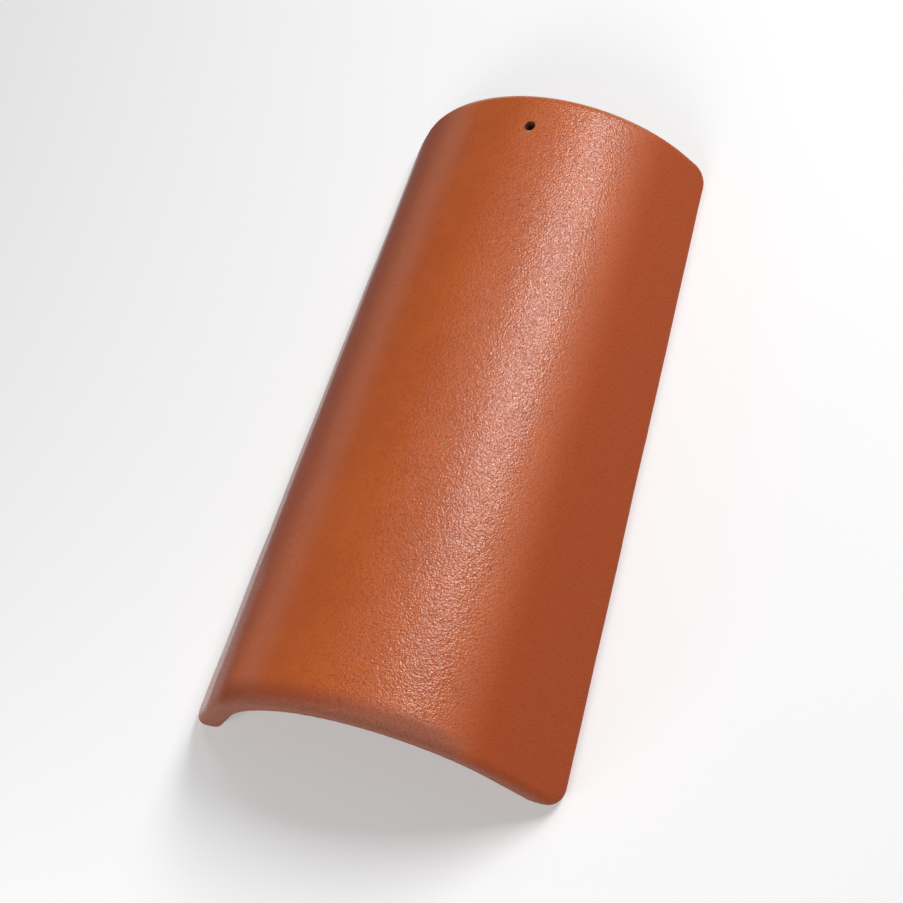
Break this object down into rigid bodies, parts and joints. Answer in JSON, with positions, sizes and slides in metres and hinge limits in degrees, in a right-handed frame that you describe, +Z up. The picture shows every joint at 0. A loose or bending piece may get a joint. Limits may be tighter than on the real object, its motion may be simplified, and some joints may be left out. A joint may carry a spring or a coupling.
{
  "type": "clay roof tile",
  "caption": "Tapered barrel roof tile of fired clay, an arch that narrows from end to end, with a nail hole in the crown near its narrow end.",
  "frame": {"origin": "middle of the ground that the tile covers as it lies on its two long edges", "axes": "+Y along the tile towards its narrow end, +Z up through the crown, +X across it"},
  "size_m": [0.2216, 0.4034, 0.0914],
  "materials": {
    "clay": "satin clay slip on the weathered face, bare fired clay on the rim and underside"
  },
  "bodies": {
    "root": {"barrel_tile": "clay"}
  },
  "joints": []
}
